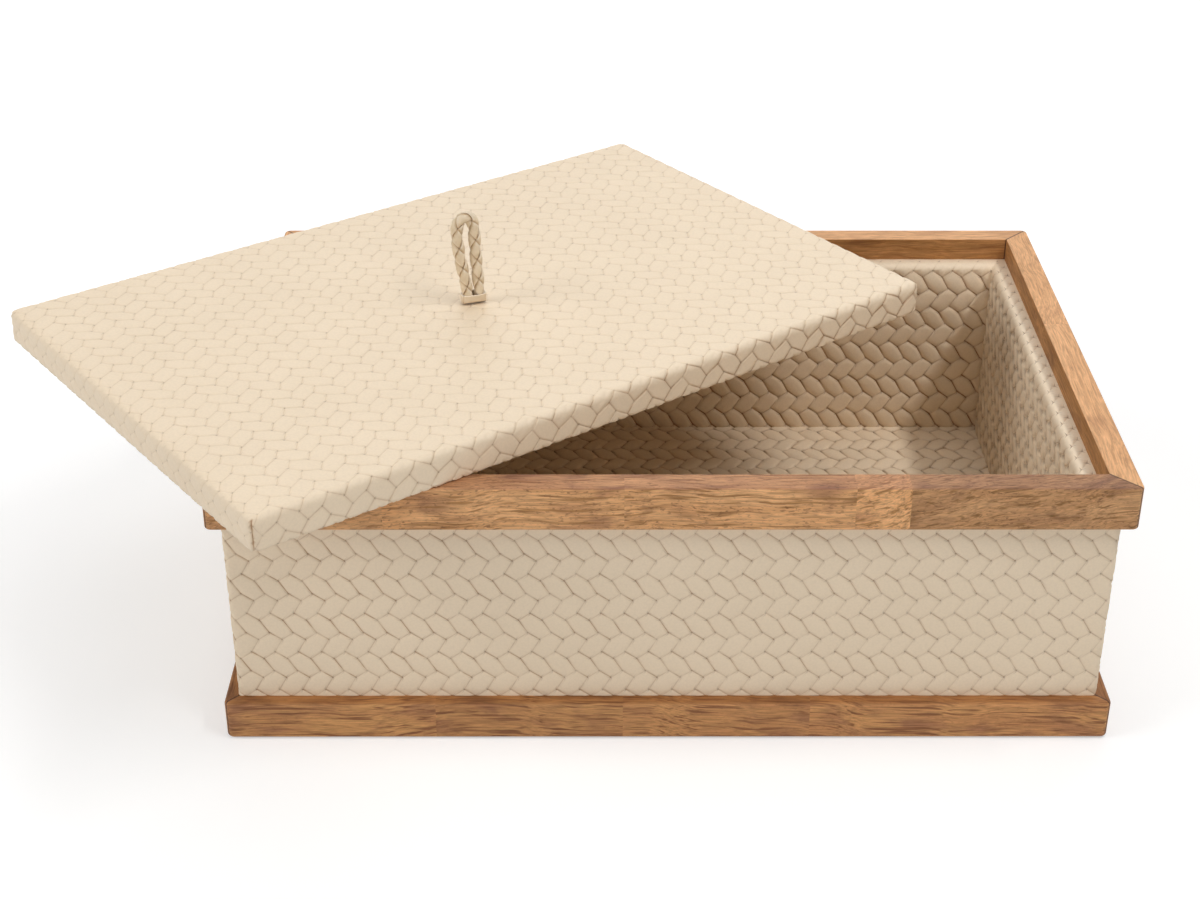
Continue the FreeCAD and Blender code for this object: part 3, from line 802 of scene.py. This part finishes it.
points = []
angles = np.linspace(0, math.pi / 2, 6)
for inset, height in LINING_SECTION:
    radius = max(LINING_CORNER - inset, 0.3)
    for quarter, (x_sign, y_sign) in enumerate(((1, 1), (-1, 1), (-1, -1), (1, -1))):
        x = x_sign * (LINING_LENGTH / 2 - inset - radius)
        y = y_sign * (LINING_WIDTH / 2 - inset - radius)
        for angle in angles + quarter * math.pi / 2:
            points.append((x + radius * math.cos(angle), y + radius * math.sin(angle), height))
count = len(points) // len(LINING_SECTION)
edge_marks = np.repeat([0, 0.5, 1, 0.5, 0, 0, 0], count)
lining = make_solid(
    "lid_lining_leather",
    np.array(points) @ spin + LID_MIDDLE,
    tube(len(LINING_SECTION), count, 0),
    {"edge": edge_marks, "under": edge_marks * 0},
    plain_leather,
)
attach(lining, "lid")
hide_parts("lid_lining")

# Loop tails: the two ends of the pull loop's plait, drawn down through the lid and spread apart in a
# groove under the board, where a steel staple holds each.
LOOP_FOOT = np.array([-86.7, 11.2, 140.5])
LOOP_TURN = math.radians(18.0)
LOOP_ALONG = np.array([math.cos(LOOP_TURN), math.sin(LOOP_TURN), 0])
LOOP_FRONT = np.array([math.sin(LOOP_TURN), -math.cos(LOOP_TURN), 0])
LACE_WIDTH, LACE_THICKNESS, LACE_STEP = 4.0, 0.9, 0.5
TURN_LENGTH = 19.5
HEART_WIDE, HEART_FLAT = 1.75, 1.35
WEAVE = 0.72
# a lace's section: place across its width and out from its middle, each from -1 to 1
LACE_RING = np.array(
    [(-1, 0), (-0.95, 0.7), (-0.6, 0.95), (0, 1.1), (0.6, 0.95)]
    + [(0.95, 0.7), (1, 0), (0.95, -0.8), (0, -1), (-0.95, -0.8)]
)
TAIL_STOPS = [(2.7, -1.3), (2.7, -5.0), (2.8, -9.4), (4.7, -10.9), (8.7, -10.9), (14.8, -10.9)]


def loop_course(stops):
    """Points in mm along a NURBS curve by stops of (along the loop, up from the lid)."""
    curve = bpy.data.curves.new("loop_course", "CURVE")
    curve.dimensions = "3D"
    curve.resolution_u = 12
    spline = curve.splines.new("NURBS")
    spline.points.add(len(stops) - 1)
    for point, (along, up) in zip(spline.points, stops):
        point.co = (along, 0, up, 1)
    spline.order_u = 4
    spline.use_endpoint_u = True
    holder = bpy.data.objects.new("loop_course", curve)
    line = bpy.data.meshes.new_from_object(holder)
    flat = np.array([vertex.co for vertex in line.vertices])
    bpy.data.objects.remove(holder)
    bpy.data.curves.remove(curve)
    bpy.data.meshes.remove(line)
    return LOOP_FOOT + flat[:, :1] * LOOP_ALONG + flat[:, 2:] * np.array([0, 0, 1.0])


def plait(course, shift, pinch):
    """Four flat laces plaited along a course, two each way, as points, faces, and edge and under marks.

    shift moves the crossings along, and pinch is the share of its width that the plait loses at its ends.
    """
    steps = np.diff(course, axis=0)
    run = np.concatenate([[0], np.cumsum(np.linalg.norm(steps, axis=1))])
    ways = np.gradient(course, run, axis=0)
    samples = np.linspace(0, run[-1], int(run[-1] / LACE_STEP) + 2)[:, None]
    across, out = LACE_RING[:, 0] * LACE_WIDTH / 2, LACE_RING[:, 1] * LACE_THICKNESS / 2
    heart = (HEART_WIDE + HEART_FLAT) / 2
    spin_rate = 2 * math.pi / TURN_LENGTH
    climb = math.atan(spin_rate * heart)
    points, faces, edges, unders, count = [], [], [], [], len(LACE_RING)
    for hand in (1, -1):
        for lace in (0, 1):
            along = samples - hand * math.sin(climb) * across
            turn = math.pi * lace + hand * spin_rate * (samples + shift) + math.cos(climb) * across / heart
            # the lace rises over one neighbour and dips under the next
            met = (turn + hand * spin_rate * (along + shift)) / math.pi + lace
            lift = -hand * np.clip(1.5 * np.cos(math.pi * met), -1, 1)
            along = np.clip(along, 0, run[-1])
            centre = np.stack([np.interp(along, run, course[:, axis]) for axis in range(3)], axis=2)
            ahead = np.stack([np.interp(along, run, ways[:, axis]) for axis in range(3)], axis=2)
            ahead /= np.linalg.norm(ahead, axis=2)[:, :, None]
            side = np.cross(ahead, LOOP_FRONT)
            tied = 1 - pinch * np.exp(-np.minimum(along, run[-1] - along) / 6)
            wide, flat = np.cos(turn) / HEART_WIDE, np.sin(turn) / HEART_FLAT
            reach = (WEAVE * lift + out) / np.hypot(wide, flat)
            wide, flat = HEART_WIDE * np.cos(turn) + wide * reach, HEART_FLAT * np.sin(turn) + flat * reach
            base = len(points) * len(samples) * count
            surface = centre + (tied * wide)[:, :, None] * side + flat[:, :, None] * LOOP_FRONT
            points.append(surface.reshape(-1, 3))
            edges.append(np.broadcast_to(np.abs(LACE_RING[:, 0]) > 0.9, along.shape).ravel() * 0.45)
            # the under mark paints shade where the lace dips under
            unders.append(np.clip(0.8 - lift, 0, 1).ravel())
            faces += tube(len(samples), count, base)
    return np.concatenate(points), faces, np.concatenate(edges), np.concatenate(unders)


# Lace leather, cut in flat strips and plaited: tan on its face, paler on the cut edges and painted darker
# in the crossings, painted shade where a lace dips under the next.
lace_leather, tree, place, tone = mottled("plaited_lace_leather", 0.004, 4.0, "#D9C5A5", "#EAD8BC")
edge, under = (add(tree, "Attribute", {}, {"attribute_name": mark}, "Fac") for mark in ("edge", "under"))
tone = add(tree, "Mix", {0: edge, 6: tone, 7: paint("#F4E8D6")}, BLEND, 2)
# painted shade where a lace dips under its neighbour
crossing_shade = add(tree, "MapRange", {0: under, 1: 0.1, 2: 0.9, 4: 0.9})
tone = add(tree, "Mix", {0: crossing_shade, 6: tone, 7: paint("#BC9C72")}, BLEND, 2)
coat(tree, {"Base Color": tone, "Roughness": 0.55, "IOR": 1.48})

points, faces, edges, unders, count = [], [], [], [], 0
for hand in (-1, 1):
    stops = [(hand * along, up) for along, up in TAIL_STOPS]
    part, part_faces, part_edges, part_unders = plait(loop_course(stops), 0.0, 0.0)
    faces += [tuple(place + count for place in face) for face in part_faces]
    points.append(part)
    edges.append(part_edges)
    unders.append(part_unders)
    count += len(part)
marks = {"edge": np.concatenate(edges), "under": np.concatenate(unders)}
tails = make_solid("loop_tail_plait", np.concatenate(points), faces, marks, lace_leather)
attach(tails, "lid")
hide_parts("loop_tail")

# Tail staples: bent steel wire driven up into the lid board over each tail. They keep their CAD shapes.
# Drawn steel wire, galvanised: a dull grey sheen with fine marks of the die along it.
steel, tree = new_finish("galvanised_steel_wire")
DIE_MARK = 0.0008
place = add(tree, "TexCoord", {}, {}, "Object")
marks = add(tree, "TexNoise", {"Vector": place, "Scale": 1 / DIE_MARK, "Detail": 3.0})
tone = add(tree, "Mix", {0: marks, 6: paint("#8E9092"), 7: paint("#B9BBBC")}, BLEND, 2)
rough = add(tree, "MapRange", {0: marks, 3: 0.3, 4: 0.5})
coat(tree, {"Base Color": tone, "Metallic": 1.0, "Roughness": rough})
wear("tail_staples", steel)

# Pull loop: the plait's middle, standing up as a narrow eye. Its left leg bulges, its right leg is
# straighter, and both feet go down side by side through the lid.
LOOP_STOPS = [
    (-2.7, 1.3), (-2.7, 5.0), (-3.6, 11.5), (-5.9, 22.5), (-7.0, 33.0), (-6.9, 40.2), (-2.9, 43.8),
    (1.1, 40.6), (1.2, 33.0), (1.6, 22.5), (2.4, 11.5), (2.7, 5.0), (2.7, 1.3),
]
part, faces, edges, unders = plait(loop_course(LOOP_STOPS), 2.0, 0.2)
loop = make_solid("pull_loop_plait", part, faces, {"edge": edges, "under": unders}, lace_leather)
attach(loop, "loop")
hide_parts("pull_loop")

# Loop band: a strip of the plain leather wound round the loop's two feet and lapped at the left end,
# with its lower edge rolled under, clear of the lid, so that the loop can fold over.
BAND_HALF_LENGTH, BAND_HALF_WIDTH = 4.8, 2.1
BAND_LEATHER = 0.7
BAND_LAP = 0.7
# how far the strip winds outwards, how square its corners are, and how far its upper edge sags
BAND_WIND, BAND_SQUARE, BAND_SAG = 0.55, 0.6, 0.25
FOLD_HEIGHT, FOLD_REACH = 4.0, 3.6
BAND_RISE = (0.55, 0.9, 1.3, 1.8, 2.5, 3.3, 4.1, 4.75, 5.0)
points, edges, unders = [], [], []
sweep = np.linspace(0, 2 * math.pi + BAND_LAP, 97) + math.pi - BAND_LAP / 2
for place, angle in enumerate(sweep):
    lap = BAND_WIND * place / (len(sweep) - 1)
    flat_x = math.copysign(abs(math.cos(angle)) ** BAND_SQUARE, math.cos(angle))
    flat_y = math.copysign(abs(math.sin(angle)) ** BAND_SQUARE, math.sin(angle))
    for layer, rises in ((1, BAND_RISE), (0, BAND_RISE[::-1])):
        for up in rises:
            grown = lap + layer * BAND_LEATHER * (0.75 if up in (BAND_RISE[0], BAND_RISE[-1]) else 1.0)
            droop = BAND_SAG * math.sin(angle + 0.6) * (up / BAND_RISE[-1]) ** 2
            limit = math.sqrt(FOLD_REACH**2 - max(FOLD_HEIGHT - up, 0) ** 2)
            limit -= (1 - layer) * BAND_LEATHER * 0.6
            across = np.clip(flat_y * (BAND_HALF_WIDTH + grown), -limit, limit)
            along = flat_x * (BAND_HALF_LENGTH + grown * (0.7 + 0.3 * min(up / 2.0, 1.0)))
            level_spot = LOOP_FOOT + along * LOOP_ALONG - across * LOOP_FRONT
            points.append(level_spot + np.array([0, 0, up + droop]))
            edges.append(1.0 if up == BAND_RISE[-1] else 0.0)
            # the under mark paints shade under the band's lower edge and on its inner layer
            unders.append(1.0 - up / 1.4 if up < 1.4 else (0.6 if layer == 0 else 0.0))
faces = tube(len(sweep), 2 * len(BAND_RISE), 0)
band = make_solid("loop_band_leather", points, faces, {"edge": edges, "under": unders}, plain_leather)
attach(band, "loop")
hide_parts("loop_band")

# Studio: a pale floor, an even white surround and soft lamps, and the camera at the photograph's angle.
# The floor keeps the shadow near the box and pales to white further off.


def seen_directly(tree):
    """One for a ray from the camera, off a shiny surface or through glass, and nought for the others."""
    path = add(tree, "LightPath", {}, {}, None)
    larger = {"operation": "MAXIMUM"}
    seen = add(tree, "Math", {0: path["Is Camera Ray"], 1: path["Is Glossy Ray"]}, larger)
    return add(tree, "Math", {0: seen, 1: path["Is Transmission Ray"]}, larger)


# the floor's own light near the box and far off, and the distances in metres between which it changes
FLOOR_LIFT, FLOOR_FADE = (0.45, 1.0), (0.3, 1.3)
FLOOR_HALF = 6
FLOOR_DROP = 0.0005
SURROUND_LIGHT = 0.19
floor_finish, tree = new_finish("pale_paper_floor")
place = add(tree, "TexCoord", {}, {}, "Object")
away = add(tree, "VectorMath", {0: place}, {"operation": "LENGTH"}, "Value")
fade = dict(enumerate((away, *FLOOR_FADE, *FLOOR_LIFT)))
fade = add(tree, "MapRange", fade)
lift = add(tree, "Math", {0: seen_directly(tree), 1: fade}, TIMES)
paper = add(tree, "BsdfDiffuse", {"Color": paint("#D6D6D6")})
glow = add(tree, "Emission", {"Color": (1, 1, 1, 1), "Strength": lift})
both = add(tree, "AddShader", {0: paper, 1: glow})
add(tree, "OutputMaterial", {"Surface": both}, {}, None)
mesh = bpy.data.meshes.new("studio_floor")
corners = [(x * FLOOR_HALF, y * FLOOR_HALF, 0) for x, y in ((-1, -1), (1, -1), (1, 1), (-1, 1))]
mesh.from_pydata(corners, [], [(0, 1, 2, 3)])
studio_floor = put_in("studio_floor", mesh, {}, floor_finish)
studio_floor.location.z = -FLOOR_DROP

world = bpy.data.worlds.new("white_surround")
scene.world = world
world.use_nodes = True
tree = world.node_tree
tree.nodes.clear()
power = add(tree, "MapRange", {0: seen_directly(tree), 3: SURROUND_LIGHT, 4: 1.0})
sky = add(tree, "Background", {"Color": (1, 1, 1, 1), "Strength": power})
add(tree, "OutputWorld", {"Surface": sky}, {}, None)

LAMP_AIM = (0.0, 0.0, 0.08)
# each lamp: its place, its width and length in metres, and its power in watts
LAMPS = {
    "top_lamp": ((0.05, 0.15, 1.7), (1.3, 1.3), 5.8),
    "key_lamp": ((0.66, -0.35, 1.25), (0.1, 0.9), 6.9),
    "left_lamp": ((-1.5, -0.5, 1.0), (0.8, 0.8), 10.6),
    "front_lamp": ((0.1, -2.2, 0.28), (0.5, 0.5), 8.6),
    "back_lamp": ((0.1, 1.6, 1.2), (2.4, 1.6), 9.8),
}
for name, (spot, size, watts) in LAMPS.items():
    lamp = bpy.data.lights.new(name, "AREA")
    lamp.shape = "RECTANGLE"
    lamp.size, lamp.size_y = size
    lamp.energy = watts
    holder = bpy.data.objects.new(name, lamp)
    way = np.array(LAMP_AIM) - np.array(spot)
    holder.location = spot
    up = np.array([0.0, 1.0, 0.0])
    back = -way / np.linalg.norm(way)
    right = np.cross(up, back)
    right /= np.linalg.norm(right)
    axes = np.stack([right, np.cross(back, right), back], axis=1)
    holder.rotation_euler = Matrix(axes.tolist()).to_euler()
    scene.collection.objects.link(holder)

CAMERA_SPOT = (-0.030718, -0.821187, 0.536919)
PITCH, YAW, ROLL_ANGLE = (math.radians(angle) for angle in (29.673, 0.129, 0.053))
FOCAL_PIXELS, PICTURE_WIDTH = 2006.47, 1200
view = bpy.data.cameras.new("photo_camera")
view.sensor_fit = "HORIZONTAL"
view.sensor_width = 36.0
view.lens = FOCAL_PIXELS / PICTURE_WIDTH * view.sensor_width
view.clip_start = 0.05
view.clip_end = 50.0
ahead = np.array([math.sin(YAW) * math.cos(PITCH), math.cos(YAW) * math.cos(PITCH), -math.sin(PITCH)])
level = np.array([math.cos(YAW), -math.sin(YAW), 0.0])
above = np.cross(level, ahead)
right = level * math.cos(ROLL_ANGLE) + above * math.sin(ROLL_ANGLE)
up = above * math.cos(ROLL_ANGLE) - level * math.sin(ROLL_ANGLE)
camera = bpy.data.objects.new("photo_camera", view)
camera.location = CAMERA_SPOT
camera.rotation_euler = Matrix(np.stack([right, up, -ahead], axis=1).tolist()).to_euler()
scene.collection.objects.link(camera)
scene.camera = camera
scene.view_settings.view_transform = "Standard"
